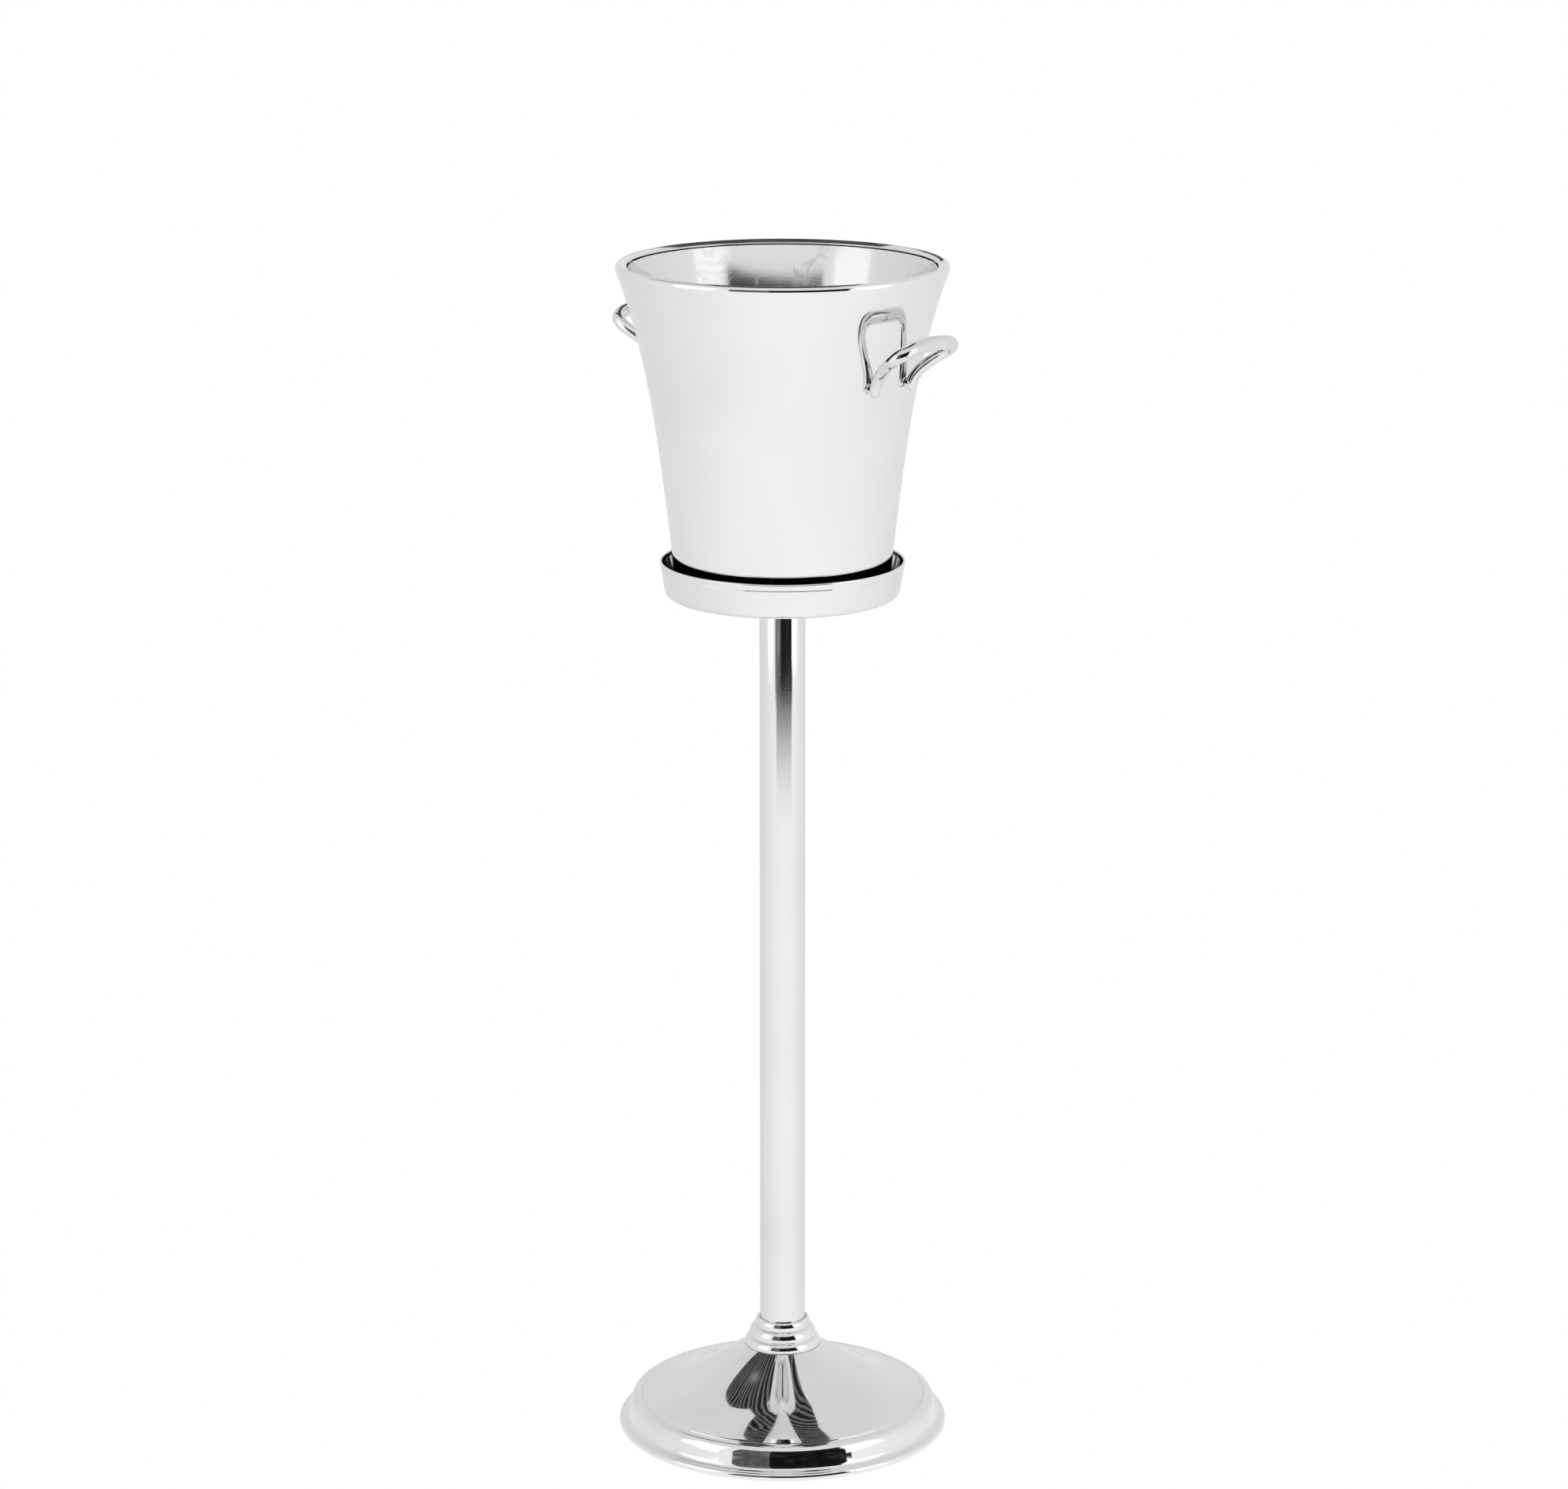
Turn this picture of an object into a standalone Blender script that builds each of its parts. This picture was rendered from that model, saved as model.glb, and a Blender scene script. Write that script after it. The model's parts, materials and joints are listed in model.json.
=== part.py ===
"""Champagne bucket stand: a weighted spun foot, a tube stem, a shallow tray and a double-walled bucket.

Metres, +Z up. The origin is on the stem's axis at the floor, and the right handle is at +X.
Every piece of the real stand is its own object, about 0.3 mm clear of the pieces that it touches.
"""

from math import atan2, cos, hypot, pi, radians, sin

import bmesh
import bpy
from mathutils import Matrix, Vector

GAP = 0.0003
FACET_SAG = 0.0003

SIDES_LARGE = 48
SIDES_MEDIUM = 28
SIDES_SMALL = 16

# Foot
FOOT_RADIUS = 0.1275
FOOT_BEAD = 0.0031
FOOT_LIFT = 0.0004
COVE_RADIUS = 0.1206
COVE_HEIGHT = 0.0082
SHOULDER_RADIUS = 0.1195
SHOULDER_LOW = 0.0115
SHOULDER_HIGH = 0.0170
LINE_RADIUS = 0.1099
LINE_HEIGHT = 0.0250
DOME_SLOPE_TOP = 0.60
DOME_SLOPE_EDGE = 0.10
SHELL_WALL = 0.0014
BALLAST_RADIUS = 0.1040
BALLAST_NUT_POCKET = 0.0160
BALLAST_POCKET_TOP = 0.0220
COVER_RADIUS = 0.1165
COVER_HOLE = 0.0190
COVER_BOTTOM = 0.0026
COVER_TOP = 0.0036
FELT_OUTER = 0.1150
FELT_INNER = 0.0940
FELT_TOP = 0.0023

# Collar: the outer radius and the top of each of its three rings
COLLAR_BOTTOM = 0.0655
COLLAR_RINGS = ((0.0292, 0.0724), (0.0257, 0.0809), (0.0213, 0.0871))
COLLAR_MOUTH = 0.0187
COLLAR_SOCKET_FLOOR = 0.0700
COLLAR_HOLE = 0.0110

# Stem
STEM_RADIUS = 0.0174
STEM_WALL = 0.0015
PLUG_LENGTH = 0.0220
ROD_RADIUS = 0.0050
ROD_BOTTOM = 0.0080
NUT_ACROSS = 0.0160
NUT_HEIGHT = 0.0080
WASHER_HEIGHT = 0.0016

# Tray
TRAY_BOTTOM = 0.6620
TRAY_CORNER = 0.0060
TRAY_WALL_RADIUS = 0.0886
TRAY_RIM_RADIUS = 0.0920
TRAY_RIM_HEIGHT = 0.6892
TRAY_HEM = 0.0012
TRAY_SHEET = 0.0014
PAD_OUTER = 0.0812
PAD_INNER = 0.0300
PAD_THICKNESS = 0.0016

# Bucket
FLARE_BASE = 0.6640
FLARE_HEIGHT = 0.2494
FLARE_RADIUS = 0.0794
FLARE_REACH = 0.0460
FLARE_STRAIGHT = 0.6046
FLARE_POWER = 3.745
BUCKET_BOTTOM = TRAY_BOTTOM + TRAY_SHEET + PAD_THICKNESS + 2 * GAP
BUCKET_TOP = 0.9134
BUCKET_SHEET = 0.0012
RIM_RADIUS = 0.1237
RIM_CORNER = 0.0034
LIP_RADIUS = 0.1152
LIP_HEIGHT = 0.9116
FLOOR_CUP_HEIGHT = 0.0092
FLOOR_CUP_SHEET = 0.0012
LINER_INSET = 0.0099
LINER_BOTTOM = 0.6800
LINER_CORNER = 0.0140
LINER_TOP = 0.9098
LINER_SHEET = 0.0010

# Half of a handle's centre line, from the middle of its grip to the rounded end of its leg: distance
# out from the bucket's axis, distance sideways, height, half its breadth and half its thickness.
HANDLE_HALF = (
    (0.1386, 0.0000, 0.8667, 0.0052, 0.0057),
    (0.1388, 0.0120, 0.8662, 0.0052, 0.0056),
    (0.1380, 0.0230, 0.8646, 0.0051, 0.0054),
    (0.1343, 0.0303, 0.8612, 0.0049, 0.0051),
    (0.1275, 0.0313, 0.8562, 0.0046, 0.0048),
    (0.1190, 0.0282, 0.8502, 0.0043, 0.0045),
    (0.1116, 0.0245, 0.8438, 0.0044, 0.0045),
    (0.1066, 0.0223, 0.8370, 0.0047, 0.0043),
    (0.1045, 0.0217, 0.8308, 0.0047, 0.0040),
    (0.1039, 0.0215, 0.8275, 0.0036, 0.0031),
    (0.1038, 0.0215, 0.8260, 0.0016, 0.0014),
)
FOOT_POINT = 8
HANDLE_FACE = 130.0
HANDLE_STEPS = 3
HANDLE_SIDES = 12

# Handle screws, along the wall's own normal at each handle foot
WALL_TILT = 11.4
BOSS_RADIUS = 0.0042
BOSS_TURN = 7.0  # so that no corner of the bore lies on an edge of the boss
SCREW_RADIUS = 0.0017
SCREW_CLEARANCE = 0.0003
SCREW_REACH = 0.0010
HEAD_RADIUS = 0.0034
HEAD_HEIGHT = 0.0018
SCREW_WASHER_RADIUS = 0.0045
SCREW_WASHER_HEIGHT = 0.0008

POLISHED_STEEL = ("polished_steel", (0.86, 0.86, 0.85), 0.06, 1.0)
LINER_STEEL = ("liner_steel", (0.80, 0.80, 0.79), 0.10, 1.0)
CAST_IRON = ("cast_iron", (0.10, 0.10, 0.10), 0.65, 0.8)
ZINC_STEEL = ("zinc_steel", (0.58, 0.58, 0.60), 0.35, 1.0)
FELT = ("black_felt", (0.02, 0.02, 0.02), 0.95, 0.0)
RUBBER = ("black_rubber", (0.015, 0.015, 0.015), 0.70, 0.0)


def clear_scene():
    for old in list(bpy.data.objects):
        bpy.data.objects.remove(old, do_unlink=True)


def material(finish):
    name, colour, roughness, metallic = finish
    made = bpy.data.materials.get(name)
    if made is None:
        made = bpy.data.materials.new(name)
        made.use_nodes = True
        shader = made.node_tree.nodes["Principled BSDF"]
        shader.inputs["Base Color"].default_value = (*colour, 1.0)
        shader.inputs["Roughness"].default_value = roughness
        shader.inputs["Metallic"].default_value = metallic
        made.diffuse_color = (*colour, 1.0)
    return made


def place(name, body, finish, parent):
    """Makes the object called name from a finished bmesh."""
    bmesh.ops.recalc_face_normals(body, faces=body.faces)
    mesh = bpy.data.meshes.new(name)
    body.to_mesh(mesh)
    body.free()
    if finish:
        mesh.materials.append(material(finish))
    mesh.shade_smooth()
    mesh.set_sharp_from_angle(angle=radians(35))
    piece = bpy.data.objects.new(name, mesh)
    bpy.context.scene.collection.objects.link(piece)
    piece.parent = parent
    return piece


def arc(centre, radius, start, end, steps):
    """Points on an arc in the plane of radius and height, with its angles in degrees."""
    angles = [radians(start + (end - start) * i / steps) for i in range(steps + 1)]
    return [(centre[0] + radius * cos(a), centre[1] + radius * sin(a)) for a in angles]


def beside(outline, distance):
    """The outline moved to the left of the way it runs."""
    moved = []
    for i, (r, z) in enumerate(outline):
        before = outline[max(i - 1, 0)]
        after = outline[min(i + 1, len(outline) - 1)]
        dr, dz = after[0] - before[0], after[1] - before[1]
        length = hypot(dr, dz)
        moved.append((r - dz / length * distance, z + dr / length * distance))
    return moved


def turned_body(profile, sides):
    """A bmesh turned about Z from a closed profile of (radius, height) points."""
    body = bmesh.new()
    rings = []
    for r, z in profile:
        if r == 0:
            rings.append([body.verts.new((0, 0, z))])
            continue
        angles = [2 * pi * k / sides for k in range(sides)]
        rings.append([body.verts.new((r * cos(a), r * sin(a), z)) for a in angles])
    for ring, following in zip(rings, rings[1:] + rings[:1]):
        for k in range(sides):
            pairs = ((ring, k), (ring, k + 1), (following, k + 1), (following, k))
            corners = list(dict.fromkeys(loop[i % len(loop)] for loop, i in pairs))
            if len(corners) > 2:
                body.faces.new(corners)
    return body


def turned(name, profile, sides, finish, parent):
    return place(name, turned_body(profile, sides), finish, parent)


def ring(name, outer, inner, bottom, top, sides, finish, parent):
    profile = [(inner, bottom), (outer, bottom), (outer, top), (inner, top)]
    return turned(name, profile, sides, finish, parent)


def hexagon_nut(name, across, bore, bottom, top, finish, parent):
    body = bmesh.new()
    sides = 24
    loops = []
    for z in (bottom, top):
        for is_outer in (True, False):
            loop = []
            for k in range(sides):
                a = 2 * pi * k / sides
                from_flat = (a + pi / 6) % (pi / 3) - pi / 6
                reach = across / 2 / cos(from_flat) if is_outer else bore
                loop.append(body.verts.new((reach * cos(a), reach * sin(a), z)))
            loops.append(loop)
    low_out, low_in, high_out, high_in = loops
    for first, second in ((low_out, high_out), (high_out, high_in), (high_in, low_in), (low_in, low_out)):
        for k in range(sides):
            n = (k + 1) % sides
            body.faces.new((first[k], first[n], second[n], second[k]))
    return place(name, body, finish, parent)


def cut(piece, cutter, operation="DIFFERENCE"):
    """Adds a Boolean to piece, and keeps the cutter out of the render."""
    cutter.hide_render = True
    cutter.display_type = "WIRE"
    modifier = piece.modifiers.new(cutter.name, "BOOLEAN")
    modifier.operation = operation
    modifier.solver = "EXACT"
    modifier.object = cutter


# ---------------------------------------------------------------- foot


def dome_height(r):
    """Height of the foot's dome, which leaves the collar as a cone and eases out to the incised line."""
    inner = COLLAR_RINGS[0][0]
    top = COLLAR_BOTTOM - GAP
    run = LINE_RADIUS - inner
    t = (r - inner) / run
    fall = (2 * t**3 - 3 * t**2 + 1) * top + (3 * t**2 - 2 * t**3) * LINE_HEIGHT
    slopes = (t**3 - 2 * t**2 + t) * DOME_SLOPE_TOP + (t**3 - t**2) * DOME_SLOPE_EDGE
    return fall - slopes * run


def foot_outline(dome_steps, shoulder_steps):
    """The foot's outside, from the tie rod's hole out to where the bead starts."""
    inner = COLLAR_RINGS[0][0]
    line = [(ROD_RADIUS + GAP, COLLAR_BOTTOM - GAP)]
    radii = [inner + (LINE_RADIUS - inner) * i / dome_steps for i in range(dome_steps + 1)]
    line += [(r, dome_height(r)) for r in radii]
    for i in range(1, shoulder_steps + 1):
        turn = radians(90 * i / shoulder_steps)
        across = (SHOULDER_RADIUS - LINE_RADIUS) * sin(turn)
        line.append((LINE_RADIUS + across, SHOULDER_HIGH + (LINE_HEIGHT - SHOULDER_HIGH) * cos(turn)))
    return line


def make_foot(parent):
    outside = foot_outline(7, 3)
    inside = beside(foot_outline(4, 2), -SHELL_WALL)
    inside[0] = (ROD_RADIUS + GAP, COLLAR_BOTTOM - GAP - SHELL_WALL)
    inside += [(SHOULDER_RADIUS - SHELL_WALL, SHOULDER_LOW), (COVE_RADIUS - SHELL_WALL, FOOT_LIFT)]
    bead = (FOOT_RADIUS - FOOT_BEAD, FOOT_LIFT + FOOT_BEAD)
    cove = [(SHOULDER_RADIUS, SHOULDER_LOW), (COVE_RADIUS, COVE_HEIGHT)]
    profile = outside + cove + arc(bead, FOOT_BEAD, 90, -90, 6) + inside[::-1]
    turned("foot_shell", profile, SIDES_LARGE, POLISHED_STEEL, parent)

    bore = ROD_RADIUS + GAP
    top = COLLAR_BOTTOM - SHELL_WALL - 2 * GAP
    floor = COVER_TOP + GAP
    ballast = [(BALLAST_NUT_POCKET, floor), (BALLAST_RADIUS, floor), (BALLAST_RADIUS, 0.0180)]
    ballast += [(0.0700, 0.0290), (0.0290, 0.0480), (0.0240, top), (bore, top)]
    ballast += [(bore, BALLAST_POCKET_TOP), (BALLAST_NUT_POCKET, BALLAST_POCKET_TOP)]
    turned("foot_ballast", ballast, SIDES_MEDIUM, CAST_IRON, parent)

    ring("foot_cover", COVER_RADIUS, COVER_HOLE, COVER_BOTTOM, COVER_TOP, SIDES_MEDIUM, ZINC_STEEL, parent)
    ring("floor_felt", FELT_OUTER, FELT_INNER, 0.0, FELT_TOP, SIDES_MEDIUM, FELT, parent)

    washer_top = BALLAST_POCKET_TOP - GAP
    nut_top = washer_top - WASHER_HEIGHT - GAP
    ring("foot_washer", 0.0140, bore, washer_top - WASHER_HEIGHT, washer_top, SIDES_SMALL, ZINC_STEEL, parent)
    hexagon_nut("foot_nut", NUT_ACROSS, bore, nut_top - NUT_HEIGHT, nut_top, ZINC_STEEL, parent)


# ---------------------------------------------------------------- stem


def collar_outline():
    """Three convex rings, each stepping in above the one below."""
    line = [(COLLAR_RINGS[0][0], COLLAR_BOTTOM)]
    necks = [radius - 0.0012 for radius, _ in COLLAR_RINGS[1:]] + [COLLAR_MOUTH]
    bottom = COLLAR_BOTTOM
    for (radius, top), neck in zip(COLLAR_RINGS, necks):
        for i in range(1, 5):
            turn = radians(90 * i / 4)
            line.append((neck + (radius - neck) * cos(turn), bottom + (top - bottom) * sin(turn)))
        bottom = top
        if neck != COLLAR_MOUTH:
            line.append((neck + 0.0012, bottom + 0.0008))
    return line


def make_stem(parent):
    socket = STEM_RADIUS + GAP
    inner = [(socket, COLLAR_RINGS[-1][1]), (socket, COLLAR_SOCKET_FLOOR)]
    inner += [(COLLAR_HOLE, COLLAR_SOCKET_FLOOR), (COLLAR_HOLE, COLLAR_BOTTOM)]
    turned("stem_collar", collar_outline() + inner, SIDES_MEDIUM, POLISHED_STEEL, parent)

    low, top = COLLAR_SOCKET_FLOOR + GAP, TRAY_BOTTOM - GAP
    wall = STEM_RADIUS - STEM_WALL
    ring("stem_tube", STEM_RADIUS, wall, low, top, SIDES_MEDIUM, POLISHED_STEEL, parent)

    bore = ROD_RADIUS + GAP
    plug = wall - GAP
    ring("lower_stem_plug", plug, bore, low, low + PLUG_LENGTH, SIDES_MEDIUM, ZINC_STEEL, parent)
    ring("upper_stem_plug", plug, bore, top - PLUG_LENGTH, top, SIDES_MEDIUM, ZINC_STEEL, parent)

    rod_top = TRAY_BOTTOM + TRAY_SHEET + WASHER_HEIGHT + 0.0030
    rod = [(0, ROD_BOTTOM), (ROD_RADIUS, ROD_BOTTOM), (ROD_RADIUS, rod_top), (0, rod_top)]
    turned("tie_rod", rod, SIDES_SMALL, ZINC_STEEL, parent)


# ---------------------------------------------------------------- tray


def make_tray(parent):
    bore = ROD_RADIUS + GAP
    corner = (TRAY_WALL_RADIUS - TRAY_CORNER, TRAY_BOTTOM + TRAY_CORNER)
    outside = [(bore, TRAY_BOTTOM)] + arc(corner, TRAY_CORNER, -90, -6, 4)
    inside = beside(outside, TRAY_SHEET)
    inside[0] = (bore, TRAY_BOTTOM + TRAY_SHEET)
    hem = (TRAY_RIM_RADIUS - TRAY_HEM, TRAY_RIM_HEIGHT - TRAY_HEM)
    profile = outside + arc(hem, TRAY_HEM, 0, 180, 4) + inside[::-1]
    turned("tray_dish", profile, SIDES_LARGE, POLISHED_STEEL, parent)

    floor = TRAY_BOTTOM + TRAY_SHEET + GAP
    ring("tray_pad", PAD_OUTER, PAD_INNER, floor, floor + PAD_THICKNESS, SIDES_MEDIUM, RUBBER, parent)
    ring("tray_washer", 0.0150, bore, floor, floor + WASHER_HEIGHT, SIDES_SMALL, ZINC_STEEL, parent)
    nut = floor + WASHER_HEIGHT + GAP
    hexagon_nut("tray_nut", NUT_ACROSS, bore, nut, nut + 0.0050, ZINC_STEEL, parent)


# ---------------------------------------------------------------- bucket


def bucket_radius(z):
    """Outer radius of the bucket's flared wall."""
    u = (z - FLARE_BASE) / FLARE_HEIGHT
    return FLARE_RADIUS + FLARE_REACH * (FLARE_STRAIGHT * u + (1 - FLARE_STRAIGHT) * u**FLARE_POWER)


def wall_points(bottom, top, steps, inset):
    heights = [bottom + (top - bottom) * i / steps for i in range(steps + 1)]
    return [(bucket_radius(z) - inset, z) for z in heights]


def make_bucket_walls(parent):
    corner = (RIM_RADIUS - RIM_CORNER, BUCKET_TOP - RIM_CORNER)
    corner_foot = corner[1] - RIM_CORNER * sin(radians(20))
    outer = wall_points(BUCKET_BOTTOM, corner_foot - 0.0015, 8, 0) + arc(corner, RIM_CORNER, -20, 90, 4)
    outer += [(LIP_RADIUS, LIP_HEIGHT), (LIP_RADIUS, LIP_HEIGHT - BUCKET_SHEET)]
    under_rim = [(corner[0] + 0.0002, LIP_HEIGHT - 0.0001)]
    inner = wall_points(BUCKET_BOTTOM, corner_foot - 0.0015, 6, BUCKET_SHEET)
    shell = turned("bucket_shell", outer + under_rim + inner[::-1], SIDES_LARGE, POLISHED_STEEL, parent)

    lip = BUCKET_BOTTOM + 0.0006
    cup = BUCKET_BOTTOM + FLOOR_CUP_HEIGHT
    inset = BUCKET_SHEET + 2 * GAP
    low, high = bucket_radius(lip) - inset, bucket_radius(cup) - inset
    sheet = FLOOR_CUP_SHEET
    profile = [(0, cup), (high, cup), (low, lip), (low - sheet, lip)]
    profile += [(high - sheet, cup - sheet), (0, cup - sheet)]
    turned("bucket_floor_cup", profile, SIDES_LARGE, POLISHED_STEEL, parent)

    start = LINER_BOTTOM + LINER_CORNER
    centre = (bucket_radius(start) - LINER_INSET - LINER_CORNER, start)
    bend = [(0, LINER_BOTTOM)] + arc(centre, LINER_CORNER, -90, -12, 3)
    outer = bend + wall_points(start, LINER_TOP, 6, LINER_INSET)[1:]
    inner = beside(bend, LINER_SHEET)
    inner[0] = (0, LINER_BOTTOM + LINER_SHEET)
    inner += wall_points(start, LINER_TOP, 6, LINER_INSET + LINER_SHEET)[1:]
    turned("bucket_liner", outer + inner[::-1], SIDES_LARGE, LINER_STEEL, parent)
    return shell


# ---------------------------------------------------------------- handles


def smooth_path(points, steps):
    """Catmull-Rom values through an open list of points."""
    ends = [points[0], *points, points[-1]]
    path = []
    for i in range(len(points) - 1):
        around = ends[i : i + 4]
        for s in range(steps):
            t = s / steps
            weights = (
                (-t + 2 * t**2 - t**3) / 2,
                (2 - 5 * t**2 + 3 * t**3) / 2,
                (t + 4 * t**2 - 3 * t**3) / 2,
                (t**3 - t**2) / 2,
            )
            path.append([sum(w * p[k] for w, p in zip(weights, around)) for k in range(5)])
    return [*path, list(points[-1])]


def rod_body(placing):
    """The cast rod from one rounded leg end to the other, with an oval section along it."""
    mirrored = [(out, -sideways, *rest) for out, sideways, *rest in HANDLE_HALF[:0:-1]]
    stations = smooth_path([*mirrored, *HANDLE_HALF], HANDLE_STEPS)
    face = radians(HANDLE_FACE)
    body = bmesh.new()
    rings = []
    for i, station in enumerate(stations):
        ahead = Vector(stations[min(i + 1, len(stations) - 1)][:3])
        along = (ahead - Vector(stations[max(i - 1, 0)][:3])).normalized()
        facing = Vector((cos(face), 0, sin(face)))
        facing = (facing - along * facing.dot(along)).normalized()
        across = along.cross(facing)
        section = []
        for k in range(HANDLE_SIDES):
            turn = 2 * pi * k / HANDLE_SIDES
            point = Vector(station[:3]) + across * station[3] * cos(turn) + facing * station[4] * sin(turn)
            section.append(body.verts.new(placing @ point))
        rings.append(section)
    for section, following in zip(rings, rings[1:]):
        for k in range(HANDLE_SIDES):
            n = (k + 1) % HANDLE_SIDES
            body.faces.new((section[k], section[n], following[n], following[k]))
    body.faces.new(rings[0])
    body.faces.new(rings[-1])
    bmesh.ops.recalc_face_normals(body, faces=body.faces)
    return body


def on_axis(name, profile, sides, axis, finish, parent):
    """A turned piece set on a screw's axis, whose +Z runs outwards through the wall."""
    body = turned_body(profile, sides)
    bmesh.ops.transform(body, matrix=axis, verts=body.verts)
    return place(name, body, finish, parent)


def screw_axis(side, placing):
    """Where one screw stands: at the handle's foot, its +Z along the wall's outward normal."""
    out, sideways, height = HANDLE_HALF[FOOT_POINT][:3]
    foot = placing @ Vector((out, side * sideways, height))
    tilt = radians(WALL_TILT)
    around = atan2(foot.y, foot.x)
    normal = Vector((cos(around) * cos(tilt), sin(around) * cos(tilt), -sin(tilt)))
    wall = (hypot(foot.x, foot.y) - bucket_radius(foot.z)) * cos(tilt)
    turn = normal.to_track_quat("Z", "Y").to_matrix().to_4x4()
    return Matrix.Translation(foot) @ turn, wall


def make_handle(name, placing, shell, parent):
    """One cast handle with a boss on each foot, its two screws and their washers."""
    handle = place(name, rod_body(placing), POLISHED_STEEL, parent)
    feet = [(label, *screw_axis(side, placing)) for label, side in (("front", -1), ("back", 1))]
    for label, axis, wall in feet:
        boss_profile = [(0, GAP - wall), (BOSS_RADIUS, GAP - wall), (BOSS_RADIUS, 0), (0, 0)]
        turned_axis = axis @ Matrix.Rotation(radians(BOSS_TURN), 4, "Z")
        boss = on_axis(f"{name}_{label}_boss", boss_profile, SIDES_SMALL, turned_axis, None, parent)
        cut(handle, boss, "UNION")
    for label, axis, wall in feet:
        hole = SCREW_RADIUS + SCREW_CLEARANCE
        end = SCREW_REACH + SCREW_CLEARANCE
        inside = -wall - BUCKET_SHEET - GAP - FACET_SAG
        head = inside - SCREW_WASHER_HEIGHT - GAP
        bore_profile = [(0, head), (hole, head), (hole, end), (0, end)]
        bore = on_axis(f"{name}_{label}_bore", bore_profile, SIDES_SMALL, axis, None, parent)
        cut(handle, bore)
        cut(shell, bore)

        profile = [(hole, inside - SCREW_WASHER_HEIGHT), (SCREW_WASHER_RADIUS, inside - SCREW_WASHER_HEIGHT)]
        profile += [(SCREW_WASHER_RADIUS, inside), (hole, inside)]
        on_axis(f"{name}_{label}_washer", profile, SIDES_SMALL, axis, ZINC_STEEL, parent)
        profile = [(0, head - HEAD_HEIGHT), (HEAD_RADIUS, head - HEAD_HEIGHT), (HEAD_RADIUS, head)]
        profile += [(SCREW_RADIUS, head), (SCREW_RADIUS, SCREW_REACH), (0, SCREW_REACH)]
        on_axis(f"{name}_{label}_screw", profile, SIDES_SMALL, axis, ZINC_STEEL, parent)


def axis_empty(name):
    empty = bpy.data.objects.new(name, None)
    bpy.context.scene.collection.objects.link(empty)
    return empty


def main():
    clear_scene()
    stand = axis_empty("stand_axis")
    bucket = axis_empty("bucket_lift_axis")
    make_foot(stand)
    make_stem(stand)
    make_tray(stand)
    shell = make_bucket_walls(bucket)
    make_handle("handle_right", Matrix.Identity(4), shell, bucket)
    make_handle("handle_left", Matrix.Rotation(pi, 4, "Z"), shell, bucket)


main()
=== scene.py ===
"""Champagne bucket stand: mirror-polished bucket, tray, stem and weighted foot, in a plain white studio."""

import json
from math import atan2, cos, hypot, pi, radians, sin

import bmesh
import bpy
from mathutils import Matrix, Vector


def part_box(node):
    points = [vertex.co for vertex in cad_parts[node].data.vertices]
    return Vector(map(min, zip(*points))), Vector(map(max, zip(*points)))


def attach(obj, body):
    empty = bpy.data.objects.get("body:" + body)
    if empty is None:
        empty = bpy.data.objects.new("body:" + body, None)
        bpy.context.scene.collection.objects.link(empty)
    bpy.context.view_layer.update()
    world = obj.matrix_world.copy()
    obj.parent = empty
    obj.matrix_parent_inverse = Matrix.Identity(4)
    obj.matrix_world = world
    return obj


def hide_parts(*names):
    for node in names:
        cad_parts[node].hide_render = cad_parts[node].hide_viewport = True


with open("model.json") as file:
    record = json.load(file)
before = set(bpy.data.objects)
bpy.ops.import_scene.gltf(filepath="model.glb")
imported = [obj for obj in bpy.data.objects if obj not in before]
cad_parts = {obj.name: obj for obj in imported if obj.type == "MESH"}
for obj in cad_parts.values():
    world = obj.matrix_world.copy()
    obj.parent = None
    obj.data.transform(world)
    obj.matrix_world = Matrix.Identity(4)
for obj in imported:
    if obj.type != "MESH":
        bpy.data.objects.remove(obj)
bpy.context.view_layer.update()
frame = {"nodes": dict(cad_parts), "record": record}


# ------------------------------------------------------------------ finishes


class Value:
    """A socket that can be used in a Python expression: each operator adds a Math node."""

    def __init__(self, finish, socket):
        self.finish = finish
        self.socket = socket

    def _math(self, operation, first, second):
        return self.finish.node("ShaderNodeMath", {"operation": operation}, {0: first, 1: second})

    def __add__(self, other):
        return self._math("ADD", self, other)

    __radd__ = __add__

    def __sub__(self, other):
        return self._math("SUBTRACT", self, other)

    def __rsub__(self, other):
        return self._math("SUBTRACT", other, self)

    def __mul__(self, other):
        return self._math("MULTIPLY", self, other)

    __rmul__ = __mul__

    def clear_of(self, low, high):
        """0 below low, 1 above high and smooth between."""
        settings = {"interpolation_type": "SMOOTHSTEP", "clamp": True}
        sockets = {"Value": self, "From Min": low, "From Max": high}
        return self.finish.node("ShaderNodeMapRange", settings, sockets)


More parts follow.
